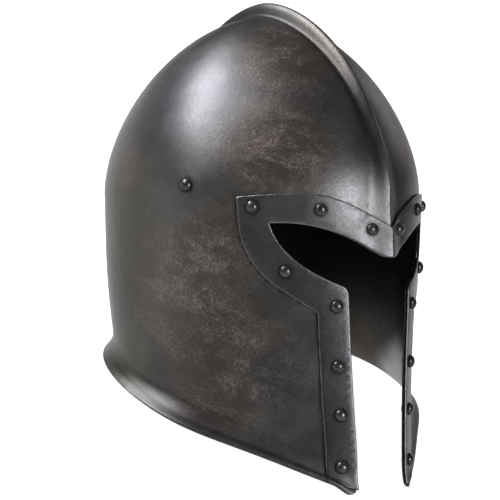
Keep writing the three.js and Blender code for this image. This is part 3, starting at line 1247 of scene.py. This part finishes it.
    def build(self, stand: Stand, material: bpy.types.Material) -> bpy.types.Object:
        """Makes all heads and inner ends as one piece.

        Args:
            stand: Where the helmet stands.
            material: Finish of the rivets.

        Returns:
            The finished piece.
        """
        base, normal, stack = self.seats()
        wall = self.band.skull.wall
        turned = normal @ np.array(stand.matrix().to_3x3()).T
        over = np.array(stack) + self.seat_gap
        heads = stand.apply(base + normal * over[:, None])
        ends = stand.apply(base - normal * (wall + self.seat_gap))
        head_sizes = {
            "Radius": self.head_radius, "Height": self.head_height, "Skirt": self.skirt,
            "Unevenness": self.head_unevenness, "Seed": self.head_seed,
        }
        end_sizes = {
            "Radius": self.end_radius, "Height": self.end_height, "Skirt": self.skirt,
            "Unevenness": self.end_unevenness, "Seed": self.end_seed,
        }
        meshes = [
            self.batch("rivet_heads", heads, turned, head_sizes, material),
            self.batch("rivet_ends", ends, -turned, end_sizes, material),
        ]
        points, faces = [], []
        for mesh in meshes:
            offset = sum(len(p) for p in points)
            places = np.empty(3 * len(mesh.vertices))
            mesh.vertices.foreach_get("co", places)
            faces += [[offset + k for k in polygon.vertices] for polygon in mesh.polygons]
            points.append(places.reshape(-1, 3))
        joined = bpy.data.meshes.new("rivets")
        joined.from_pydata(np.concatenate(points).tolist(), [], faces)
        joined.polygons.foreach_set("use_smooth", np.ones(len(joined.polygons), bool))
        joined.materials.append(material)
        piece = bpy.data.objects.new("rivets", joined)
        bpy.context.scene.collection.objects.link(piece)
        return piece

    def nodes(self) -> list[str]:
        """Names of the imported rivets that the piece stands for."""
        return [f"rivet_{r.name}_{side.name.lower()}" for side in Side for r in self.half()]


class Value:
    """A shader socket that takes part in arithmetic."""

    def __init__(self, bench: "Bench", socket: bpy.types.NodeSocket) -> None:
        """Wraps an output socket of a bench's tree."""
        self.bench = bench
        self.socket = socket

    def _math(self, operation: str, *others: "Value | float", first: bool = True) -> "Value":
        """Applies a Math node, with this value first or last."""
        values = (self, *others) if first else (*others, self)
        return self.bench.node("Math", {"operation": operation}, *values)

    def __add__(self, other: "Value | float") -> "Value":
        """Sum with a value or a number."""
        return self._math("ADD", other)

    def __sub__(self, other: "Value | float") -> "Value":
        """Difference from a value or a number."""
        return self._math("SUBTRACT", other)

    def __mul__(self, other: "Value | float") -> "Value":
        """Product with a value or a number."""
        return self._math("MULTIPLY", other)

    def __rsub__(self, other: "Value | float") -> "Value":
        """A number less this value."""
        return self._math("SUBTRACT", other, first=False)

    def __abs__(self) -> "Value":
        """This value without its sign."""
        return self._math("ABSOLUTE")

    __radd__ = __add__
    __rmul__ = __mul__

    def least(self, other: "Value | float") -> "Value":
        """The smaller of this and another value."""
        return self._math("MINIMUM", other)

    def most(self, other: "Value | float") -> "Value":
        """The larger of this and another value."""
        return self._math("MAXIMUM", other)

    def between(self, low: float, high: float) -> "Value":
        """A smooth step from 0 at low to 1 at high."""
        settings = {"interpolation_type": "SMOOTHSTEP"}
        return self.bench.node("MapRange", settings, self, low, high, 0.0, 1.0)


class Bench:
    """The node tree of one material, with short ways to add its nodes."""

    def __init__(self, name: str) -> None:
        """Starts a material with a bare shader.

        Args:
            name: Name of the material.
        """
        self.material = bpy.data.materials.new(name)
        self.material.use_nodes = True
        self.tree = self.material.node_tree
        self.tree.nodes.clear()
        self.shader = self.tree.nodes.new("ShaderNodeBsdfPrincipled")
        output = self.tree.nodes.new("ShaderNodeOutputMaterial")
        self.tree.links.new(self.shader.outputs[0], output.inputs[0])
        self.place = self.node("TexCoord", {}, out="Object")

    def node(self, kind: str, settings: dict[str, object], *inputs: object,
             out: int | str = 0, **named: object) -> Value:
        """Adds any node.

        Args:
            kind: Type of the node, without its prefix.
            settings: Properties of the node, set first.
            inputs: Values for its enabled sockets in order, or None to leave one as it is.
            out: The output that is wanted.
            named: Values for sockets by name, with underscores for spaces.

        Returns:
            The wrapped output.
        """
        made = self.tree.nodes.new("ShaderNode" + kind)
        for key, value in settings.items():
            setattr(made, key, value)
        sockets = [s for s in made.inputs if s.enabled]
        for socket, value in zip(sockets, inputs):
            self.fill(socket, value)
        for name, value in named.items():
            self.fill(made.inputs[name.replace("_", " ")], value)
        if isinstance(out, str):
            return Value(self, made.outputs[out])
        return Value(self, [s for s in made.outputs if s.enabled][out])

    def fill(self, socket: bpy.types.NodeSocket, value: object) -> None:
        """Links a value to a socket, or sets a number or colour on it.

        Args:
            socket: The input socket.
            value: What it gets, or None to leave it as it is.
        """
        if isinstance(value, Value):
            self.tree.links.new(value.socket, socket)
        elif value is not None:
            plain = socket.type == "RGBA" and len(value) == 3
            socket.default_value = (*value, 1.0) if plain else value

    def set(self, **inputs: object) -> None:
        """Sets or links the shader's own sockets, named with underscores for spaces."""
        for name, value in inputs.items():
            self.fill(self.shader.inputs[name.replace("_", " ")], value)

    def noise(self, scale: float, detail: float = 3.0, rough: float = 0.5, warp: float = 0.0,
              place: Value | None = None) -> Value:
        """Soft noise between 0 and 1.

        Args:
            scale: Waves per metre.
            detail: How many finer layers it has.
            rough: How strong the finer layers are.
            warp: How much it is twisted.
            place: Coordinates, or the piece's own.

        Returns:
            The noise.
        """
        return self.node("TexNoise", {}, Vector=place or self.place, Scale=scale, Detail=detail,
                         Roughness=rough, Distortion=warp)

    def stretched(self, scale: Triple, turn: Triple = (0.0, 0.0, 0.0)) -> Value:
        """The piece's coordinates, turned and stretched.

        Args:
            scale: Factor along each axis.
            turn: Angle about each axis.

        Returns:
            The new coordinates.
        """
        return self.node("Mapping", {}, Vector=self.place, Rotation=turn, Scale=scale)

    def mix(self, share: Value | float, first: "Value | Colour", second: "Value | Colour") -> Value:
        """A colour between two colours.

        Args:
            share: How much of the second it has.
            first: The colour at 0.
            second: The colour at 1.

        Returns:
            The mixed colour.
        """
        return self.node("Mix", {"data_type": "RGBA"}, share, first, second)

    def near(self, centre: Triple, reach: float, ragged: Value | None = None) -> Value:
        """1 at a place on the piece, fading to 0 at a distance.

        Args:
            centre: The place, in metres.
            reach: Distance at which it has faded.
            ragged: Noise that makes its outline uneven.

        Returns:
            The fading value.
        """
        away = self.node("VectorMath", {"operation": "DISTANCE"}, self.place, centre, out="Value")
        if ragged is not None:
            away = away + (ragged - 0.5) * reach
        return 1 - away.between(0.25 * reach, reach)

    def attribute(self, name: str) -> Value:
        """One of the values that the piece's points carry.

        Args:
            name: Name of the attribute.

        Returns:
            The value.
        """
        return self.node("Attribute", {"attribute_name": name}, out="Fac")

    def mark(self, name: str) -> Value:
        """Distance from one of the piece's marks, in millimetres."""
        return self.attribute(name) * IN_MM

    def along(self, axis: str) -> Value:
        """One of the piece's coordinates, in metres."""
        return self.node("SeparateXYZ", {}, self.place, out=axis)

    def bump(self, height: Value, depth: float, strength: float = 1.0,
             under: Value | None = None) -> Value:
        """A bumped normal.

        Args:
            height: Height between 0 and 1.
            depth: Its full depth in metres.
            strength: How much of it shows.
            under: A normal that it lies on.

        Returns:
            The normal.
        """
        return self.node("Bump", {}, Strength=strength, Distance=depth, Height=height, Normal=under)


@dataclass(frozen=True)
class Patch:
    """A tinted place on the steel: a stain or tone of its own, or, where the tables say so, painted
    light or painted shade.
    """

    centre: Triple
    reach: float
    tint: Colour
    strength: float
    crackled: bool = False
    inner: bool = False


@dataclass(frozen=True)
class DarkSteel:
    """Old browned steel, polished by handling, with rust stains, a fine tan crackle, pits, painted shade
    and painted edge highlights.
    """

    name: str
    light: Colour = (0.052, 0.0515, 0.048)
    dark: Colour = (0.025, 0.0246, 0.0235)
    rust: Colour = (0.04, 0.029, 0.022)
    tan: Colour = (0.145, 0.126, 0.108)
    # Light grey of rubbed edges and of the painted highlight on them.
    worn: Colour = (0.26, 0.26, 0.26)
    # Near-black tone of the painted shade, and of the grime along the band's edge.
    grime_and_shade_tone: Colour = (0.006, 0.0058, 0.0055)
    shine: float = 0.36
    metal: float = 0.8
    rust_share: float = 1.0
    crackle_share: float = 1.0
    # Grime and painted shade along the band's edge.
    seam_grime_and_shade: float = 0.6
    # Rubbed steel and painted highlight along the band's outer edge.
    seam_wear_and_highlight: float = 0.0
    # Rubbed steel and painted highlight along the free edges.
    edge_wear_and_highlight: float = 0.1
    # Painted shade on the free edges.
    edge_painted_shade: float = 0.7
    # Painted shade of a groove near the free edges.
    groove_shade: float = 0.45
    # Painted shade on the comb's flanks.
    comb_flank_shade: float = 0.6
    streak_scale: Triple = (1.0, 1.0, 3.0)
    streak_turn: float = math.radians(22)
    patches: tuple[Patch, ...] = ()

    def make(self) -> bpy.types.Material:
        """Makes the finished material.

        Returns:
            The material.
        """
        b = Bench(self.name)
        clouds = b.noise(12, 4, 0.6, 0.4)
        blotches = b.noise(60, 6, 0.65, 0.6)
        upright = b.stretched(self.streak_scale, (self.streak_turn, 0.0, 0.0))
        streaks = b.noise(24, 6, 0.7, 0.5, upright)
        grain = b.noise(460, 4, 0.65)
        pits = b.noise(1500, 3, 0.6)
        lines = abs(b.noise(420, 3, 0.6, 0.8) - 0.5)
        crackle = 1 - lines.between(0.008, 0.05)
        flecks = b.noise(800, 2, 0.6).between(0.54, 0.68)
        steel = b.mix(clouds.between(0.38, 0.62), self.dark, self.light)
        steel = b.mix(blotches.between(0.5, 0.75) * 0.45, steel, self.dark)
        stained: Value | float = 0.0
        for patch in (p for p in self.patches if not p.inner):
            there = b.near(patch.centre, patch.reach, blotches) * patch.strength
            steel = b.mix(there, steel, patch.tint)
            if patch.crackled:
                stained = there.most(stained)
        rusty = (streaks * 0.6 + blotches * 0.4).between(0.5, 0.62)
        rusty = rusty * ((stained * 0.9 + clouds.between(0.5, 0.62) * 0.5) * self.rust_share)
        steel = b.mix(rusty * 0.6, steel, self.rust)
        uneven = (streaks * 0.55 + blotches * 0.45).between(0.38, 0.62)
        speckled = (crackle * 0.55 + flecks * 0.5) * uneven
        speckled = speckled * ((stained * 0.8 + 0.22) * self.crackle_share)
        steel = b.mix(speckled.least(0.75), steel, self.tan)
        steel = b.mix(grain.between(0.48, 0.7) * 0.35, steel, self.dark)
        seam, edge = b.mark("seam"), b.mark("edge")
        # Grime and painted shade along the band's edge, and a painted shadow ring round each rivet.
        grime_and_shade = (1 - seam.between(0.2, 2.0)) * self.seam_grime_and_shade
        grime_and_shade = grime_and_shade.most((1 - b.mark("rivet").between(4.6, 7.0)) * 0.6)
        steel = b.mix(grime_and_shade, steel, self.grime_and_shade_tone)
        # Painted shade on the free edges' turned faces.
        steel = b.mix((1 - edge.between(0.5, 1.3)) * self.edge_painted_shade, steel, self.grime_and_shade_tone)
        # Rubbed steel and a painted highlight along the free edges and the band's outer edge.
        wear_and_highlight = (1 - edge.between(0.3, 1.5)) * self.edge_wear_and_highlight
        wear_and_highlight = wear_and_highlight.most((1 - seam.between(0.3, 1.1)) * self.seam_wear_and_highlight)
        within = b.attribute("inside")
        wear_and_highlight = wear_and_highlight * b.noise(160, 3, 0.6).between(0.25, 0.6) * (1 - within)
        steel = b.mix(wear_and_highlight, steel, self.worn)
        # Painted shade on the comb's flanks, high on the skull.
        ridge = abs(b.along("X")) * IN_MM
        beside = ridge.between(1.5, 4.0) * (1 - ridge.between(5.0, 11.0))
        high = b.along("Z").between(0.16, 0.2)
        steel = b.mix(beside * high * self.comb_flank_shade, steel, self.grime_and_shade_tone)
        # Painted shade of a groove a few millimetres in from the free edges.
        groove_shade_mask = (1 - (edge - 4.6).between(0.0, 1.6)) * edge.between(2.6, 4.2)
        steel = b.mix(groove_shade_mask * self.groove_shade, steel, self.grime_and_shade_tone)
        # Painted shade inside the bowl, deeper away from the edges.
        steel = b.mix(within * (edge.between(10, 90) * 0.55 + 0.25), steel, self.grime_and_shade_tone)
        # Painted highlight and painted lit zone on the inner wall.
        for patch in (p for p in self.patches if p.inner):
            there = b.near(patch.centre, patch.reach, clouds) * patch.strength
            steel = b.mix(within * there, steel, patch.tint)
        rough = self.shine + rusty * 0.12 + speckled * 0.2
        rough = rough + (grain - 0.5) * 0.15 + (blotches - 0.5) * 0.12
        metal = self.metal - rusty * 0.3
        hammered = b.bump(b.noise(30, 2, 0.5), 1.0 * MM, 0.3)
        grained = b.bump(grain, 0.2 * MM, 0.5, hammered)
        pitted = b.bump(pits.between(0.35, 0.6) + speckled, 0.05 * MM, 0.4, grained)
        b.set(Base_Color=steel, Roughness=rough, Metallic=metal, Normal=pitted, IOR=1.4,
              Specular_Tint=(0.6, 0.6, 0.6))
        return b.material


@dataclass(frozen=True)
class RivetSteel:
    """Glossy dark steel of the rivet heads."""

    name: str = "rivet_steel_dark"
    light: Colour = (0.04, 0.038, 0.036)
    dark: Colour = (0.014, 0.0135, 0.013)
    shine: float = 0.27

    def make(self) -> bpy.types.Material:
        """Makes the finished material.

        Returns:
            The material.
        """
        b = Bench(self.name)
        blotches = b.noise(260, 4, 0.6, 0.4)
        steel = b.mix(blotches.between(0.35, 0.7), self.light, self.dark)
        rough = self.shine + (blotches - 0.5) * 0.15
        uneven = b.bump(b.noise(300, 3, 0.6), 0.3 * MM, 0.3)
        b.set(Base_Color=steel, Roughness=rough, Metallic=0.7, Normal=uneven, IOR=1.45,
              Specular_Tint=(0.5, 0.5, 0.5))
        return b.material


@dataclass(frozen=True)
class PalePaper:
    """The plain pale ground that the helmet stands on."""

    name: str = "pale_ground"
    tone: float = 0.25
    glow: float = 1.0

    def make(self) -> bpy.types.Material:
        """Makes the finished material.

        Returns:
            The material.
        """
        b = Bench(self.name)
        b.set(Base_Color=(self.tone,) * 3, Roughness=0.9, Emission_Color=(1.0, 1.0, 1.0),
              Emission_Strength=self.glow)
        return b.material


@dataclass
class SoftBox:
    """A soft light on one side of the helmet."""

    name: str
    towards: Triple
    distance: float
    width: float
    height: float
    power: float
    tone: Colour = (1.0, 1.0, 1.0)

    def build(self, centre: Vector) -> None:
        """Hangs the light so that it looks at the helmet.

        Args:
            centre: Middle of the helmet.
        """
        lamp = bpy.data.lights.new(self.name, "AREA")
        lamp.shape = "ELLIPSE"
        lamp.size, lamp.size_y = self.width, self.height
        lamp.energy, lamp.color = self.power, self.tone
        piece = bpy.data.objects.new(self.name, lamp)
        away = Vector(self.towards).normalized()
        piece.location = centre + away * self.distance
        piece.rotation_euler = away.to_track_quat("Z", "Y").to_euler()
        bpy.context.scene.collection.objects.link(piece)


@dataclass
class Studio:
    """Floor, lights and the air round the helmet."""

    floor_half: float = 40.0
    air: float = 0.12
    air_tone: Colour = (0.95, 0.97, 1.0)
    middle: Triple = (0.0, 0.0, 0.13)
    lights: tuple[SoftBox, ...] = (
        SoftBox("key", (-0.48, 0.59, 0.63), 1.7, 1.5, 0.85, 100.0, (0.94, 0.94, 1.0)),
        SoftBox("rim_side", (-0.86, 0.2, 0.42), 2.0, 0.4, 0.4, 9.0, (0.95, 0.96, 1.0)),
        SoftBox("front", (-0.1, -0.91, 0.4), 2.2, 0.5, 1.1, 74.0, (0.96, 0.97, 1.0)),
        SoftBox("far_side", (0.88, 0.3, 0.3), 2.4, 1.2, 0.8, 6.5),
    )

    def build(self) -> None:
        """Lays the floor, hangs the lights and lights the air."""
        half = self.floor_half
        corners = [(-half, -half, 0), (half, -half, 0), (half, half, 0), (-half, half, 0)]
        mesh = bpy.data.meshes.new("floor")
        mesh.from_pydata(corners, [], [(0, 1, 2, 3)])
        mesh.materials.append(PalePaper().make())
        floor = bpy.data.objects.new("floor", mesh)
        bpy.context.scene.collection.objects.link(floor)
        for light in self.lights:
            light.build(Vector(self.middle))
        world = bpy.data.worlds.new("air")
        world.use_nodes = True
        colour, strength = world.node_tree.nodes["Background"].inputs[:2]
        colour.default_value = (*self.air_tone, 1.0)
        strength.default_value = self.air
        bpy.context.scene.world = world
        bpy.context.scene.view_settings.view_transform = "Standard"


@dataclass
class Photographer:
    """The camera, at the height, side and distance from which the helmet is seen."""

    eye: Vector = field(default_factory=lambda: Vector((-0.8022, -0.8772, 0.5116)))
    right: Vector = field(default_factory=lambda: Vector((0.7799, -0.5763, 0.2443)))
    up: Vector = field(default_factory=lambda: Vector((0.0173, 0.4101, 0.9119)))
    reach_px: float = 1830.63
    frame_px: float = 500.0
    film: float = 36.0
    farthest: float = 200.0

    def build(self) -> None:
        """Sets up the camera of the scene."""
        lens = bpy.data.cameras.new("camera")
        lens.sensor_width = self.film
        lens.lens = self.film * self.reach_px / self.frame_px
        lens.clip_end = self.farthest
        piece = bpy.data.objects.new("camera", lens)
        back = self.right.cross(self.up).normalized()
        side = self.up.cross(back).normalized()
        turn = Matrix((side, back.cross(side), back)).transposed()
        piece.matrix_world = Matrix.Translation(self.eye) @ turn.to_4x4()
        bpy.context.scene.collection.objects.link(piece)
        bpy.context.scene.camera = piece


SKULL_PATCHES = (
    Patch((-0.1, 0.05, 0.1), 0.09, (0.026, 0.0235, 0.0165), 0.8),
    Patch((-0.1, 0.01, 0.02), 0.05, (0.027, 0.0265, 0.0195), 0.7),
    Patch((-0.092, -0.035, 0.085), 0.065, (0.043, 0.037, 0.032), 0.8, True),
    Patch((-0.088, -0.034, 0.125), 0.04, (0.04, 0.032, 0.027), 0.7, True),
    Patch((-0.075, -0.072, 0.05), 0.06, (0.038, 0.031, 0.027), 0.75, True),
    Patch((-0.058, -0.039, 0.19), 0.05, (0.044, 0.033, 0.027), 0.7, True),
    Patch((-0.022, 0.01, 0.238), 0.055, (0.044, 0.037, 0.032), 0.75, True),
    Patch((-0.1, 0.055, 0.141), 0.022, (0.058, 0.044, 0.04), 0.4),
    Patch((-0.1, 0.002, 0.145), 0.03, (0.042, 0.043, 0.048), 0.6),
    Patch((-0.066, -0.1, 0.055), 0.03, (0.022, 0.023, 0.025), 0.7),
    # Painted tints of the dome's and the forehead's highlights, bluish.
    Patch((-0.078, 0.037, 0.197), 0.06, (0.04, 0.0395, 0.0435), 0.65),
    Patch((-0.03, -0.1, 0.185), 0.05, (0.046, 0.047, 0.051), 0.6),
    Patch((0.096, 0.0, 0.095), 0.06, (0.043, 0.037, 0.032), 0.75, True),
    Patch((0.07, 0.06, 0.175), 0.05, (0.044, 0.034, 0.028), 0.65, True),
    Patch((0.045, -0.05, 0.2), 0.04, (0.044, 0.033, 0.027), 0.6, True),
    Patch((0.03, 0.13, 0.13), 0.05, (0.042, 0.035, 0.03), 0.65, True),
    # Painted highlight on the inner wall of the wearer's left side, and a painted lit brown zone beside
    # it.
    Patch((0.1, -0.042, 0.02), 0.036, (0.36, 0.36, 0.36), 0.9, inner=True),
    Patch((0.098, 0.005, 0.02), 0.045, (0.08, 0.066, 0.056), 0.5, inner=True),
)


BAND_PATCHES = (
    Patch((-0.074, -0.072, 0.14), 0.016, (0.05, 0.033, 0.026), 0.5, True),
    Patch((-0.005, -0.135, 0.155), 0.02, (0.06, 0.047, 0.04), 0.5),
    # Painted shade on the wearer's right cheek plate.
    Patch((-0.04, -0.14, 0.03), 0.075, (0.019, 0.0195, 0.02), 0.85),
    Patch((-0.055, -0.11, 0.1), 0.06, (0.022, 0.0225, 0.0235), 0.7),
    # Painted light on the wearer's left cheek plate.
    Patch((0.04, -0.14, 0.03), 0.075, (0.05, 0.05, 0.047), 0.6),
)


def placed(name: str, points: Array, faces: Array, extras: dict[str, Array], stand: Stand,
           material: bpy.types.Material, node: str, slot: str, seats: Array) -> bpy.types.Object:
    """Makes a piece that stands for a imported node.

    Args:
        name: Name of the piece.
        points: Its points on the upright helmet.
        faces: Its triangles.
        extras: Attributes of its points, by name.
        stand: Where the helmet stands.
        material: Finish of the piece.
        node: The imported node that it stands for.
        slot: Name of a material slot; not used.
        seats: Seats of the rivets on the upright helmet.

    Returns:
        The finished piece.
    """
    from_rivet = np.min([np.linalg.norm(points - seat, axis=1) for seat in seats], axis=0)
    piece = mesh_object(name, stand.apply(points), faces, extras | {"rivet": from_rivet})
    piece.data.materials.append(material)
    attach(piece, "root")
    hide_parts(node)
    LOG.info("%s: %d points, %d triangles", name, len(points), len(faces))
    return piece


def main() -> None:
    """Builds the helmet, its studio and its camera, and reports each piece."""
    logging.basicConfig(level=logging.INFO, format="%(name)s: %(message)s")
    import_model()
    skin = Skin()
    skull = Skull(skin, FaceOpening(), Lattice(skin))
    points, faces, extras = skull.build()
    stand = Stand(skin.rest_tilt)
    laid = stand.apply(points)
    low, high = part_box(skull.node)
    back = (low.y + high.y - laid[:, 1].min() - laid[:, 1].max()) / 2
    stand.shift = Vector((0.0, back, -laid[:, 2].min()))
    LOG.info("helmet moved by %s", [round(c, 5) for c in stand.shift])
    steel = DarkSteel("browned_steel", patches=SKULL_PATCHES).make()
    band = FaceBand(skull)
    rivets = Rivets(band)
    seats = rivets.seats()[0]
    placed("bowl", points, faces, extras, stand, steel, skull.node, skull.slot, seats)
    band_steel = DarkSteel(
        "band_steel_dark", light=(0.04, 0.04, 0.041), dark=(0.024, 0.024, 0.025),
        rust_share=0.6, crackle_share=0.5, shine=0.35, seam_grime_and_shade=0.0, seam_wear_and_highlight=0.2, edge_wear_and_highlight=0.18,
        edge_painted_shade=0.0, groove_shade=0.0, comb_flank_shade=0.0,
        patches=BAND_PATCHES,
    ).make()
    placed("brow_and_cheek_band", *band.build(), stand, band_steel, band.node, band.slot, seats)
    piece = rivets.build(stand, RivetSteel().make())
    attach(piece, "root")
    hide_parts(*rivets.nodes())
    LOG.info("rivets: %d nodes", len(rivets.nodes()))
    Studio().build()
    Photographer().build()


if __name__ == "__main__":
    main()
